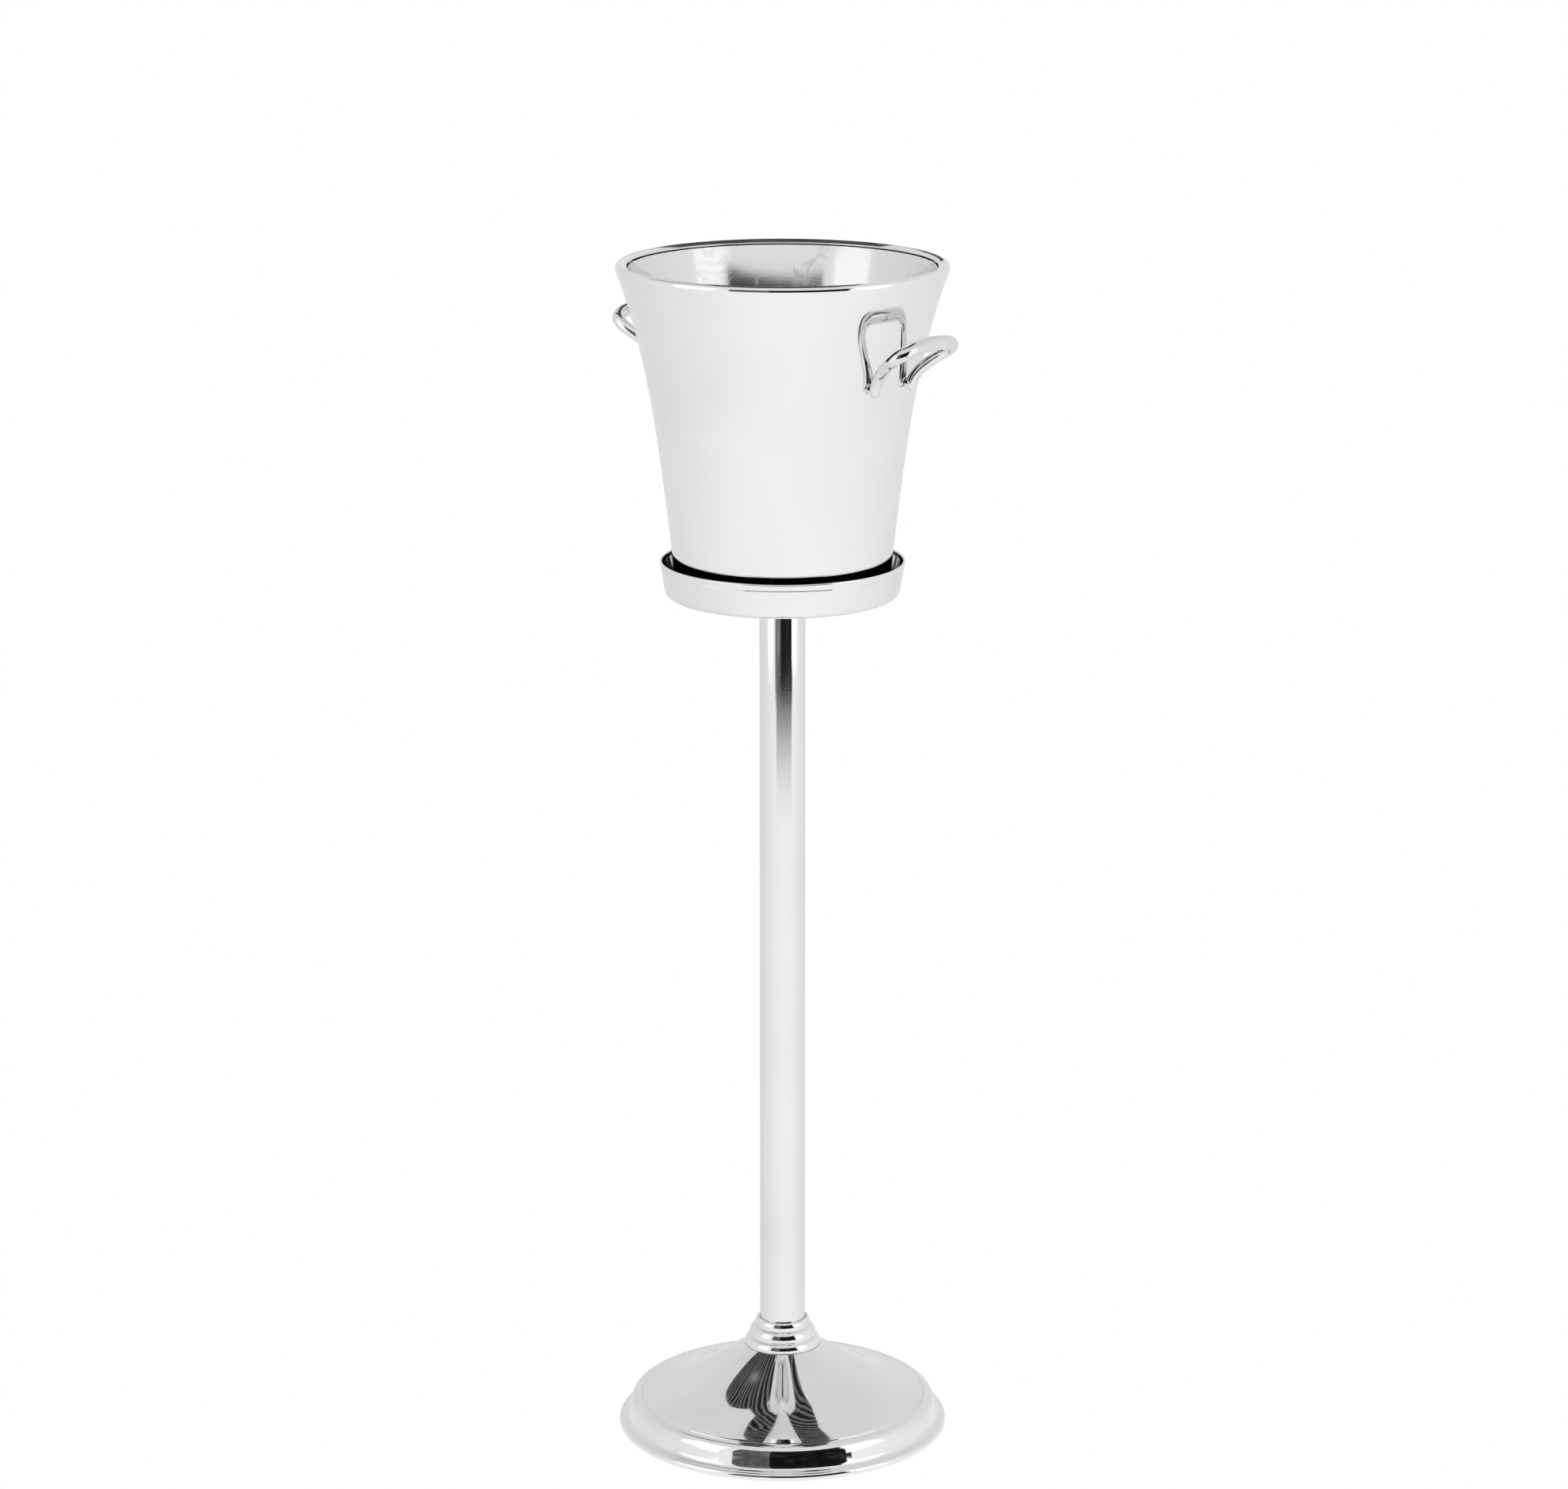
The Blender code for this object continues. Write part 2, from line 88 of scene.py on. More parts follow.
class Finish:
    """One material, or the studio's surround, and the nodes in it."""

    def __init__(self, name, surround=False):
        owner = bpy.data.worlds.new(name) if surround else bpy.data.materials.new(name)
        owner.use_nodes = True
        self.made = owner
        self.tree = owner.node_tree
        self.tree.nodes.clear()
        kind = "ShaderNodeOutputWorld" if surround else "ShaderNodeOutputMaterial"
        self.output = self.tree.nodes.new(kind)

    def node(self, kind, settings=None, sockets=None, out=0):
        """Adds a node: its settings first, then the values or links of its sockets. Gives its output."""
        made = self.tree.nodes.new(kind)
        for key, value in (settings or {}).items():
            setattr(made, key, value)
        for key, value in (sockets or {}).items():
            if isinstance(value, Value):
                self.tree.links.new(value.socket, made.inputs[key])
            else:
                made.inputs[key].default_value = value
        return Value(self, made.outputs[out])

    def show(self, shader):
        self.tree.links.new(shader.socket, self.output.inputs["Surface"])
        return self.made

    def surface(self, sockets):
        """Ends the material with a surface that light falls on."""
        return self.show(self.node("ShaderNodeBsdfPrincipled", None, sockets))

    def lit(self, shade, strength=1.0):
        """Ends the material with a glow: what varies goes into its colour."""
        return self.show(self.node("ShaderNodeEmission", None, {"Color": shade, "Strength": strength}))

    def place(self):
        """Position on the object, in metres."""
        return self.node("ShaderNodeTexCoord", out=3)

    def stretched(self, scale):
        settings = {"vector_type": "POINT"}
        return self.node("ShaderNodeMapping", settings, {"Vector": self.place(), "Scale": scale})

    def noise(self, scale, detail, roughness=0.5, stretch=None, distortion=0.0):
        place = self.stretched(stretch) if stretch else self.place()
        sockets = {"Vector": place, "Scale": scale, "Detail": detail}
        sockets |= {"Roughness": roughness, "Distortion": distortion}
        return self.node("ShaderNodeTexNoise", None, sockets)

    def mix(self, factor, first, second):
        sockets = {0: factor, 6: first, 7: second}
        return self.node("ShaderNodeMix", {"data_type": "RGBA"}, sockets, out=2)

    def bump(self, height, distance, strength=1.0, under=None):
        sockets = {"Height": height, "Distance": distance, "Strength": strength}
        if under is not None:
            sockets["Normal"] = under
        return self.node("ShaderNodeBump", None, sockets)

    def axis(self, index):
        return self.node("ShaderNodeSeparateXYZ", None, {0: self.place()}, out=index)


def grey(shade, warm=0.0):
    """A grey, turned a little towards yellow by its warmth."""
    return (shade * (1 + warm), shade, shade * (1 - warm), 1.0)


def polished_metal(name, shade, roughness, waviness, turned=True):
    """Mirror-polished nickel: slow hand-made waves, faint buffing lines, wipe marks and specks."""
    finish = Finish(name)
    clouds = finish.noise(scale=9.0, detail=2.0)
    wipes = finish.noise(scale=14.0, detail=4.0, roughness=0.6, stretch=(1.0, 1.0, 0.35), distortion=1.2)
    specks = finish.noise(scale=900.0, detail=2.0, roughness=0.6).clear_of(0.72, 0.78)
    tone = finish.mix(clouds.clear_of(0.3, 0.7), grey(shade * 0.965), grey(shade * 1.02))
    tone = finish.mix(specks * 0.35, tone, grey(shade * 0.55))
    rough = roughness * (0.75 + 0.5 * clouds) + 0.035 * wipes.clear_of(0.55, 0.75) + 0.1 * specks
    waves = finish.bump(finish.noise(scale=22.0, detail=1.0), waviness)
    if turned:
        rings = finish.noise(scale=1.0, detail=2.0, roughness=0.6, stretch=(2.0, 2.0, 1600.0))
        waves = finish.bump(rings, distance=0.000004, strength=0.6, under=waves)
    return finish.surface({"Base Color": tone, "Metallic": 1.0, "Roughness": rough, "Normal": waves})


def dull_metal(name, shade, roughness, grain, relief, metallic=1.0):
    """Plated or cast metal that nobody polishes, with a mottled face and darker blots at random."""
    finish = Finish(name)
    mottle = finish.noise(scale=grain, detail=5.0, roughness=0.65)
    blots = finish.noise(scale=grain * 0.12, detail=3.0, roughness=0.6)
    tone = finish.mix(blots.clear_of(0.35, 0.7), grey(shade * 0.6, warm=0.03), grey(shade))
    rough = roughness + 0.25 * (mottle - 0.5)
    face = finish.bump(mottle, relief)
    return finish.surface({"Base Color": tone, "Metallic": metallic, "Roughness": rough, "Normal": face})


def spun_steel(name, shade, roughness):
    """The bucket's inside: bright steel with the fine rings of spinning and faint water marks."""
    finish = Finish(name)
    rings = finish.noise(scale=1.0, detail=3.0, roughness=0.7, stretch=(1.5, 1.5, 900.0))
    marks = finish.noise(scale=30.0, detail=5.0, roughness=0.6, distortion=0.8)
    water = marks.clear_of(0.56, 0.60) * (1 - marks.clear_of(0.60, 0.66))
    tone = finish.mix(water * 0.3, grey(shade), grey(shade * 0.86, warm=0.01))
    rough = roughness + 0.05 * rings + 0.08 * water
    waves = finish.bump(finish.noise(scale=18.0, detail=1.0), distance=0.00022)
    face = finish.bump(rings, distance=0.00001, strength=0.5, under=waves)
    return finish.surface({"Base Color": tone, "Metallic": 1.0, "Roughness": rough, "Normal": face})


def soft_black(name, shade, roughness, grain, relief, sheen=0.0):
    """Felt or rubber."""
    finish = Finish(name)
    fibres = finish.noise(scale=grain, detail=4.0, roughness=0.7)
    tone = finish.mix(fibres, grey(shade * 0.6), grey(shade * 1.8))
    rough = roughness + 0.1 * (fibres - 0.5)
    face = finish.bump(fibres, relief)
    return finish.surface({"Base Color": tone, "Roughness": rough, "Sheen Weight": sheen, "Normal": face})


MIRROR_FOOT = polished_metal("mirror_foot", shade=0.85, roughness=0.045, waviness=0.00010)
MIRROR_COLLAR = polished_metal("mirror_collar", shade=0.86, roughness=0.030, waviness=0.00004)
MIRROR_STEM = polished_metal("mirror_stem", shade=0.84, roughness=0.050, waviness=0.00010)
MIRROR_TRAY = polished_metal("mirror_tray", shade=0.86, roughness=0.040, waviness=0.00010)
MIRROR_BUCKET = polished_metal("mirror_bucket", shade=0.88, roughness=0.060, waviness=0.00018)
MIRROR_HANDLE = polished_metal("mirror_handle", shade=0.80, roughness=0.025, waviness=0.00022, turned=False)
BRIGHT_LINER = spun_steel("bright_liner", shade=0.78, roughness=0.10)
ZINC = dull_metal("zinc_plate", shade=0.58, roughness=0.36, grain=420.0, relief=0.00004)
IRON = dull_metal("painted_iron", shade=0.07, roughness=0.62, grain=260.0, relief=0.0003, metallic=0.4)
FELT = soft_black("black_felt", shade=0.020, roughness=0.93, grain=900.0, relief=0.0004, sheen=0.4)
RUBBER = soft_black("black_rubber", shade=0.018, roughness=0.62, grain=500.0, relief=0.0001)


# ------------------------------------------------------------------ making pieces

# How many flat sides stand for a full turn
WIDE_SIDES = 256
LINER_SIDES = 192
COLLAR_SIDES = 192
STEM_SIDES = 160
BOSS_SIDES = 32


def finished(name, body, node, material, sharp=30):
    """Turns a finished bmesh into the piece that stands for one frame node."""
    bmesh.ops.recalc_face_normals(body, faces=body.faces)
    mesh = bpy.data.meshes.new(name)
    body.to_mesh(mesh)
    body.free()
    mesh.materials.append(material)
    mesh.shade_smooth()
    mesh.set_sharp_from_angle(angle=radians(sharp))
    piece = bpy.data.objects.new(name, mesh)
    bpy.context.scene.collection.objects.link(piece)
    rides = next(b for b, nodes in frame["record"]["behaviour"]["bodies"].items() if node in nodes)
    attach(piece, rides)
    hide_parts(node)
    return piece


def steps_between(low, high, count):
    return [low + (high - low) * i / count for i in range(count + 1)]


def arc(centre, radius, start, end, steps, rise=None):
    """Points on an arc in the plane of radius and height, with its angles in degrees.

    With a rise it is an oval's arc: radius is then its half breadth and rise its half height.
    """
    rise = rise or radius
    angles = [radians(angle) for angle in steps_between(start, end, steps)]
    return [(centre[0] + radius * cos(a), centre[1] + rise * sin(a)) for a in angles]


def turned_body(profile, sides):
    """The closed profile of radius and height, turned round the axis."""
    body = bmesh.new()
    rings = []
    for r, z in profile:
        if r == 0:
            rings.append([body.verts.new((0, 0, z))])
            continue
        angles = [2 * pi * k / sides for k in range(sides)]
        rings.append([body.verts.new((r * cos(a), r * sin(a), z)) for a in angles])
    for ring, following in zip(rings, rings[1:] + rings[:1]):
        for k in range(sides):
            pairs = ((ring, k), (ring, k + 1), (following, k + 1), (following, k))
            corners = list(dict.fromkeys(loop[i % len(loop)] for loop, i in pairs))
            if len(corners) > 2:
                body.faces.new(corners)
    return body


# ------------------------------------------------------------------ foot and collar

ROD_HOLE = 0.0053
FOOT_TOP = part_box("foot_shell")[1][2]
FOOT_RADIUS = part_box("foot_shell")[1][0]
FOOT_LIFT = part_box("foot_shell")[0][2]
FOOT_SHEET = 0.0014
DOME_SHEET = 0.0015
COLLAR_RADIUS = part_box("stem_collar")[1][0]
COLLAR_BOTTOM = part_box("stem_collar")[0][2]
COLLAR_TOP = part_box("stem_collar")[1][2]

# The dome falls from the collar to an incised line. Its slopes are drop over run.
SLOPE_AT_COLLAR = 0.60
SLOPE_AT_LINE = 0.10
LINE_RADIUS = 0.1099
LINE_HEIGHT = 0.0250
LINE_HALF_WIDTH = 0.00015
LINE_DEPTH = 0.00045

# The shoulder is part of an oval round the line, and a cove and a round bead follow it.
SHOULDER_FOOT = 0.0170
SHOULDER_OUT = 0.0086
SHOULDER_RISE = 0.0080
SHOULDER_START = 83.25
SHOULDER_END = 20
COVE_EDGE = (0.1189, 0.0160)
COVE_CENTRE = (0.1252, 0.0118)
COVE_RADIUS = 0.0051
BEAD_RADIUS = 0.0031
BEAD_SETBACK = 0.0028

# Underside of the sheet between the floor and the dome, and the radius where the dome's begins
FOOT_INSIDE = ((0.1192, FOOT_LIFT), (0.1181, 0.0120), (0.1160, 0.0200), (0.1085, 0.0236))
DOME_INSIDE = 0.100

# Each ring of the collar: its radius, its top and the radius of the neck that it bulges from
COLLAR_RINGS = (
    (COLLAR_RADIUS, 0.0724, 0.0245),
    (0.0257, 0.0809, 0.0201),
    (0.0213, COLLAR_TOP, 0.0187),
)
RING_TUCK = 12
SEAM_DEPTH = 0.0004
SEAM_WIDTH = 0.0006
TUBE_SEAT = 0.0700
TUBE_HOLE = 0.0177
PLUG_HOLE = 0.0110


def dome_height(r):
    """A cubic curve from the collar to the incised line, with a chosen slope at each end."""
    run = LINE_RADIUS - COLLAR_RADIUS
    t = (r - COLLAR_RADIUS) / run
    level = (2 * t**3 - 3 * t**2 + 1) * FOOT_TOP + (3 * t**2 - 2 * t**3) * LINE_HEIGHT
    return level - ((t**3 - 2 * t**2 + t) * SLOPE_AT_COLLAR + (t**3 - t**2) * SLOPE_AT_LINE) * run


def make_foot():
    """The spun foot: dome, incised line, rounded shoulder, cove and floor bead."""
    outside = [(ROD_HOLE, FOOT_TOP)]
    outside += [(r, dome_height(r)) for r in steps_between(COLLAR_RADIUS, LINE_RADIUS - 0.0004, 60)]
    outside += [(LINE_RADIUS + side * LINE_HALF_WIDTH, LINE_HEIGHT - LINE_DEPTH) for side in (-1, 1)]
    oval_centre = (LINE_RADIUS, SHOULDER_FOOT)
    outside += arc(oval_centre, SHOULDER_OUT, SHOULDER_START, SHOULDER_END, 23, rise=SHOULDER_RISE)
    outside += [COVE_EDGE, *arc(COVE_CENTRE, COVE_RADIUS, 194, 262, 14)]
    bead_centre = (FOOT_RADIUS - BEAD_RADIUS, FOOT_LIFT + BEAD_RADIUS)
    outside += [*arc(bead_centre, BEAD_RADIUS, 88, -60, 18), (FOOT_RADIUS - BEAD_SETBACK, FOOT_LIFT)]
    inside = [*FOOT_INSIDE]
    inside += [(r, dome_height(r) - DOME_SHEET) for r in steps_between(DOME_INSIDE, COLLAR_RADIUS, 10)]
    inside += [(ROD_HOLE, FOOT_TOP - FOOT_SHEET)]
    body = turned_body(outside + inside, WIDE_SIDES)
    finished("polished_foot", body, "foot_shell", MIRROR_FOOT)


def make_collar():
    """One turned collar of three convex rings, each with a fine seam under the next."""
    line = [(COLLAR_RADIUS - SEAM_WIDTH, COLLAR_BOTTOM)]
    bottom = COLLAR_BOTTOM
    tuck = sin(radians(RING_TUCK))
    for radius, top, neck in COLLAR_RINGS:
        rise = (top - bottom) / (1 + tuck)
        line += arc((neck, bottom + tuck * rise), radius - neck, -RING_TUCK, 90, 16, rise=rise)
        if top != COLLAR_TOP:
            line += [(neck, top - SEAM_DEPTH), (neck + SEAM_WIDTH, top - SEAM_DEPTH / 2)]
        bottom = top
    line += [(TUBE_HOLE, COLLAR_TOP - SEAM_DEPTH / 2), (TUBE_HOLE, TUBE_SEAT)]
    line += [(PLUG_HOLE, TUBE_SEAT), (PLUG_HOLE, COLLAR_BOTTOM)]
    body = turned_body(line, COLLAR_SIDES)
    finished("ringed_collar", body, "stem_collar", MIRROR_COLLAR)


# ------------------------------------------------------------------ stem and tray

STEM_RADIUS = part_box("stem_tube")[1][0]
STEM_BOTTOM, STEM_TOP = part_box("stem_tube")[0][2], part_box("stem_tube")[1][2]
TRAY_BOTTOM, TRAY_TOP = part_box("tray_dish")[0][2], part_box("tray_dish")[1][2]
TRAY_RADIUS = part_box("tray_dish")[1][0]
STEM_EDGE = 0.0003
STEM_WALL = 0.0015
TRAY_FLAT = 0.040
TRAY_FOOT = 0.0886
TRAY_CORNER = 0.0060
TRAY_SHEET = 0.0014
TRAY_ROLL = 0.0008
HEM_DROP = 0.0052
HEM_DEPTH = 0.00025
HEM_STEP = 0.0002
HEM_WIDTH = 0.0003


def make_stem():
    """Drawn tube with the smallest chamfer at its ends."""
    edge = STEM_RADIUS - STEM_EDGE
    outer = [(edge, STEM_BOTTOM), (STEM_RADIUS, STEM_BOTTOM + STEM_EDGE)]
    outer += [(STEM_RADIUS, z) for z in steps_between(STEM_BOTTOM + 0.01, STEM_TOP - 0.01, 12)]
    outer += [(STEM_RADIUS, STEM_TOP - STEM_EDGE), (edge, STEM_TOP)]
    inner = [(STEM_RADIUS - STEM_WALL, STEM_TOP), (STEM_RADIUS - STEM_WALL, STEM_BOTTOM)]
    finished("stem", turned_body(outer + inner, STEM_SIDES), "stem_tube", MIRROR_STEM)


def make_tray():
    """Spun tray: flat floor, rounded corner, leaning wall, a hem line and a rolled rim."""
    corner = (TRAY_FOOT - TRAY_CORNER, TRAY_BOTTOM + TRAY_CORNER)
    lean = (TRAY_RADIUS - TRAY_FOOT) / (TRAY_TOP - TRAY_BOTTOM - TRAY_CORNER)
    outside = [(ROD_HOLE, TRAY_BOTTOM), (TRAY_FLAT, TRAY_BOTTOM), *arc(corner, TRAY_CORNER, -90, -8, 14)]
    hem = TRAY_TOP - HEM_DROP
    foot_radius, foot_height = outside[-1]
    for z in steps_between(foot_height + 0.001, hem - HEM_WIDTH, 6):
        outside.append((foot_radius + lean * (z - foot_height), z))
    at_hem = outside[-1][0]
    outside += [(at_hem - HEM_DEPTH, hem), (at_hem + HEM_STEP, hem + HEM_WIDTH)]
    rim = arc((TRAY_RADIUS - TRAY_ROLL, TRAY_TOP - TRAY_ROLL), TRAY_ROLL, -10, 190, 16)
    floor = TRAY_BOTTOM + TRAY_SHEET
    inside = [(ROD_HOLE, floor), (TRAY_FLAT, floor), *arc(corner, TRAY_CORNER - TRAY_SHEET, -90, -8, 10)]
    inside += [(TRAY_RADIUS - 2 * TRAY_ROLL - 0.0004, TRAY_TOP - 0.004)]
    body = turned_body(outside + rim + inside[::-1], WIDE_SIDES)
    finished("bucket_tray", body, "tray_dish", MIRROR_TRAY)


# ------------------------------------------------------------------ bucket

BUCKET_BOTTOM, BUCKET_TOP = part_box("bucket_shell")[0][2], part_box("bucket_shell")[1][2]
RIM_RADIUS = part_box("bucket_shell")[1][0]
LINER_BOTTOM, LINER_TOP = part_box("bucket_liner")[0][2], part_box("bucket_liner")[1][2]
SHELL_SHEET = 0.0012
LINER_SHEET = 0.0010
LINER_INSET = 0.0099
LINER_CORNER = 0.0140
LINER_FLAT = 0.030
SHELL_EDGE = 0.0004
RIM_CORNER = 0.0034
RIM_START = 20
LIP_RADIUS = 0.0006
LIP_CENTRE = (0.1158, BUCKET_TOP - 0.0024)

# The flare: its base and height, the radius there, how far it reaches out, the share of this that
# is a straight taper, and the power of the rest
FLARE_BASE = 0.6640
FLARE_HEIGHT = 0.2494
FLARE_RADIUS = 0.0794
FLARE_REACH = 0.0460
FLARE_STRAIGHT = 0.6046
FLARE_POWER = 3.745


def bucket_radius(z):
    """The bucket's flare: a steady taper that opens out faster towards the rim."""
    u = (z - FLARE_BASE) / FLARE_HEIGHT
    return FLARE_RADIUS + FLARE_REACH * (FLARE_STRAIGHT * u + (1 - FLARE_STRAIGHT) * u**FLARE_POWER)


def make_bucket_shell():
    """Outer wall, rounded rim, the band that slopes in from it and the lip over the liner."""
    centre = (RIM_RADIUS - RIM_CORNER, BUCKET_TOP - RIM_CORNER)
    top_of_wall = centre[1] - RIM_CORNER * sin(radians(RIM_START))
    wall = steps_between(BUCKET_BOTTOM + SHELL_EDGE, top_of_wall - 0.0012, 60)
    outside = [(bucket_radius(BUCKET_BOTTOM) - SHELL_EDGE, BUCKET_BOTTOM)]
    outside += [(bucket_radius(z), z) for z in wall]
    rim = arc(centre, RIM_CORNER, -RIM_START, 100, 22)
    lip = arc(LIP_CENTRE, LIP_RADIUS, 100, 190, 5)
    under = [(LIP_CENTRE[0] - 0.0004, LIP_CENTRE[1] - 0.0009), (centre[0], LIP_CENTRE[1] - 0.0004)]
    back = steps_between(top_of_wall - 0.002, BUCKET_BOTTOM, 24)
    inside = [(bucket_radius(z) - SHELL_SHEET, z) for z in back]
    body = turned_body(outside + rim + lip + under + inside, WIDE_SIDES)
    finished("bucket_wall", body, "bucket_shell", MIRROR_BUCKET)


def liner_side(thickness):
    """Floor, dished corner and wall of the liner, this far in from its outer face."""
    start = LINER_BOTTOM + LINER_CORNER
    centre = (bucket_radius(start) - LINER_INSET - LINER_CORNER, start)
    floor = LINER_BOTTOM + thickness
    side = [(0, floor), (LINER_FLAT, floor), *arc(centre, LINER_CORNER - thickness, -90, -8, 14)]
    inset = LINER_INSET + thickness
    side += [(bucket_radius(z) - inset, z) for z in steps_between(start + 0.002, LINER_TOP, 40)]
    return side


def make_liner():
    """Inner wall and dished corner of the bucket."""
    body = turned_body(liner_side(0) + liner_side(LINER_SHEET)[::-1], LINER_SIDES)
    finished("inner_bucket", body, "bucket_liner", BRIGHT_LINER)


# ------------------------------------------------------------------ handles

# Half of a handle's centre line, from the middle of its grip to the rounded end of its leg: distance
# out from the bucket's axis, distance sideways, height, half its breadth and half its thickness.
HANDLE_HALF = (
    (0.1386, 0.0000, 0.8667, 0.0052, 0.0057),
    (0.1388, 0.0120, 0.8662, 0.0052, 0.0056),
    (0.1380, 0.0230, 0.8646, 0.0051, 0.0054),
    (0.1343, 0.0303, 0.8612, 0.0049, 0.0051),
    (0.1275, 0.0313, 0.8562, 0.0046, 0.0048),
    (0.1190, 0.0282, 0.8502, 0.0043, 0.0045),
    (0.1116, 0.0245, 0.8438, 0.0044, 0.0045),
    (0.1066, 0.0223, 0.8370, 0.0047, 0.0043),
    (0.1045, 0.0217, 0.8308, 0.0047, 0.0040),
    (0.1039, 0.0215, 0.8275, 0.0036, 0.0031),
    (0.1038, 0.0215, 0.8260, 0.0016, 0.0014),
)
FOOT_POINT = 8  # where the boss joins the leg
HANDLE_FACE = radians(130)  # the way in which the thickness is measured, up from straight out
HANDLE_STEPS = 8
HANDLE_SIDES = 32
AFTER_POLISHING = 0.97  # the share of the cast section that polishing leaves
BOSS_RADIUS = 0.0042
BOSS_EDGE = 0.0003
BOSS_SUNK = 0.0005
BOSS_CLEARANCE = 0.0003
WALL_TILT = radians(11.4)


def smooth_path(points, steps):
    """Catmull-Rom values through an open list of points of five numbers each."""
    ends = [points[0], *points, points[-1]]
    path = []
    for i in range(len(points) - 1):
        around = ends[i : i + 4]
        for s in range(steps):
            t = s / steps
            weights = (
                (-t + 2 * t**2 - t**3) / 2,
                (2 - 5 * t**2 + 3 * t**3) / 2,
                (t + 4 * t**2 - 3 * t**3) / 2,
                (t**3 - t**2) / 2,
            )
            path.append([sum(w * p[k] for w, p in zip(weights, around)) for k in range(5)])
    return [*path, list(points[-1])]


def rod_body(placing):
    """The cast rod from one rounded leg end to the other, with an oval section along it."""
    mirrored = [(out, -sideways, *rest) for out, sideways, *rest in HANDLE_HALF[:0:-1]]
    stations = smooth_path([*mirrored, *HANDLE_HALF], HANDLE_STEPS)
    face = Vector((cos(HANDLE_FACE), 0, sin(HANDLE_FACE)))
    body = bmesh.new()
    rings = []
    for i, station in enumerate(stations):
        ahead = Vector(stations[min(i + 1, len(stations) - 1)][:3])
        along = (ahead - Vector(stations[max(i - 1, 0)][:3])).normalized()
        facing = (face - along * face.dot(along)).normalized()
        across = along.cross(facing)
        half_breadth, half_thickness = station[3:]
        section = []
        for k in range(HANDLE_SIDES):
            turn = 2 * pi * k / HANDLE_SIDES
            oval = across * half_breadth * cos(turn) + facing * half_thickness * sin(turn)
            point = Vector(station[:3]) + oval * AFTER_POLISHING
            section.append(body.verts.new(placing @ point))
        rings.append(section)
    for section, following in zip(rings, rings[1:]):
        for k in range(HANDLE_SIDES):
            n = (k + 1) % HANDLE_SIDES
            body.faces.new((section[k], section[n], following[n], following[k]))
    body.faces.new(rings[0])
    body.faces.new(rings[-1])
    return body


def add_boss(body, side, placing):
    """A short round boss from the handle's foot to the wall, sunk into the foot."""
    out, sideways, height = HANDLE_HALF[FOOT_POINT][:3]
    foot = placing @ Vector((out, side * sideways, height))
    around = atan2(foot.y, foot.x)
    normal = Vector((cos(around) * cos(WALL_TILT), sin(around) * cos(WALL_TILT), -sin(WALL_TILT)))
    wall = (hypot(foot.x, foot.y) - bucket_radius(foot.z)) * cos(WALL_TILT)
    axis = Matrix.Translation(foot) @ normal.to_track_quat("Z", "Y").to_matrix().to_4x4()
    end = BOSS_CLEARANCE - wall
    profile = [(0, end), (BOSS_RADIUS - BOSS_EDGE, end), (BOSS_RADIUS, end + BOSS_EDGE)]
    profile += [(BOSS_RADIUS, -BOSS_SUNK), (0, -BOSS_SUNK)]
    boss = turned_body(profile, BOSS_SIDES)
    bmesh.ops.transform(boss, matrix=axis, verts=boss.verts)
    mesh = bpy.data.meshes.new("boss")
    boss.to_mesh(mesh)
    boss.free()
    body.from_mesh(mesh)
    bpy.data.meshes.remove(mesh)


def make_handle(name, node, placing):
    body = rod_body(placing)
    add_boss(body, -1, placing)
    add_boss(body, 1, placing)
    finished(name, body, node, MIRROR_HANDLE, sharp=60)


# ------------------------------------------------------------------ carried-over pieces


def repaint(node, material):
    """Gives a piece that is carried over from the frame one of the finishes above."""
    piece = frame["nodes"][node]
    piece.data.materials.clear()
    piece.data.materials.append(material)


def repaint_hidden_pieces():
    for node in frame["nodes"]:
        if node.endswith(("screw", "washer", "nut", "plug")) or node in ("tie_rod", "foot_cover"):
            repaint(node, ZINC)
    repaint("foot_ballast", IRON)
    repaint("floor_felt", FELT)
    repaint("tray_pad", RUBBER)
    repaint("bucket_floor_cup", MIRROR_TRAY)


# ------------------------------------------------------------------ studio

CAMERA_AROUND = radians(-50.8)
CAMERA_OUT = 3.558
CAMERA_HEIGHT = 1.4423
CAMERA_PITCH = radians(14.14)
CAMERA_SHIFT = 0.00096
SENSOR_WIDE = 36.0
LENS = 111.336

# Level directions on the floor: from the object towards the camera, and to the camera's right
TOWARDS = Vector((cos(CAMERA_AROUND), sin(CAMERA_AROUND), 0))
RIGHT = Vector((-sin(CAMERA_AROUND), cos(CAMERA_AROUND), 0))

# Two floors just under the object: the camera sees the lower one, and reflections show the upper one.
FLOOR_HEIGHT = -0.0005
SOFT_FLOOR_HEIGHT = -0.0003
FLOOR_REACH = 40
DOME_REACH = 30

# The open front of the sweep, in angles from the camera's direction and distances from the object
OPEN_RISE = radians(46)
OPEN_FROM = radians(-36)
DARK_FROM = radians(-9)
DARK_TO = radians(50)
RETURN_OUT = 2.44
DARK_OUT = 2.45
EDGE_OUT = (1.85, 2.46)
EDGE_ANGLES = (-30, 46)
EDGE_STEPS = 8
EDGE_HEIGHT = 0.0005
BOWL_HEIGHT = 0.001

SOFTBOX_TURN = radians(62)
SOFTBOX_OUT = 1.9
SOFTBOX_HEIGHT = 1.1
SOFTBOX_WIDE = 1.1
SOFTBOX_TALL = 1.9
SOFTBOX_STRENGTH = 1.2

